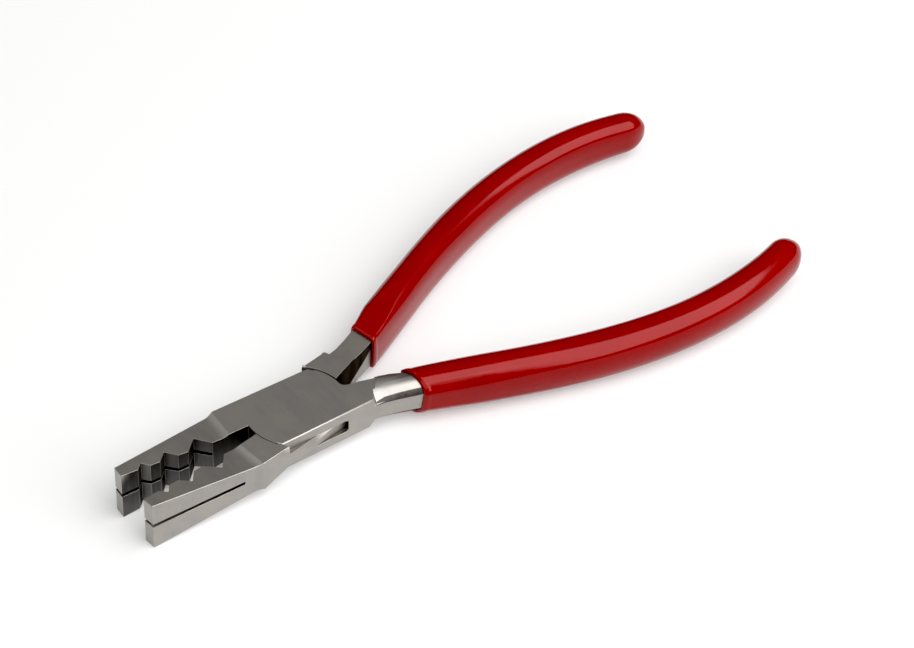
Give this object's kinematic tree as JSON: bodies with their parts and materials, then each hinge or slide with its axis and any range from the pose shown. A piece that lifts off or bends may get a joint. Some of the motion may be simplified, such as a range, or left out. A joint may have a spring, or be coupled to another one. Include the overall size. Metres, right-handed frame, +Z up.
{
  "type": "crimping pliers",
  "caption": "Box-joint pliers with V-notched, slit jaws that thicken towards the tips and bowed handles in dip-moulded grips, for crimping and for holding small tube.",
  "frame": {"origin": "on the pivot axis, at the flat underside of the box", "axes": "+X from the jaws towards the handle ends along the tool's middle line, +Z up along the pivot axis, +Y towards the tongue half's handle"},
  "size_m": [0.1412, 0.0588, 0.0109],
  "materials": {
    "steel": "fine-ground satin stainless steel",
    "pin_steel": "ground flush with the box",
    "grip": "glossy dip-moulded soft PVC"
  },
  "bodies": {
    "box_side": {"box_half": "steel", "pivot_pin": "pin_steel", "box_handle_grip": "grip"},
    "tongue_side": {"tongue_half": "steel", "tongue_handle_grip": "grip"}
  },
  "joints": [
    {"name": "pivot", "type": "hinge", "parent": "box_side", "child": "tongue_side", "pos_m": [0, 0, 0.00344], "axis": [0, 0, 1], "range_deg": [-10.7, 22]}
  ]
}
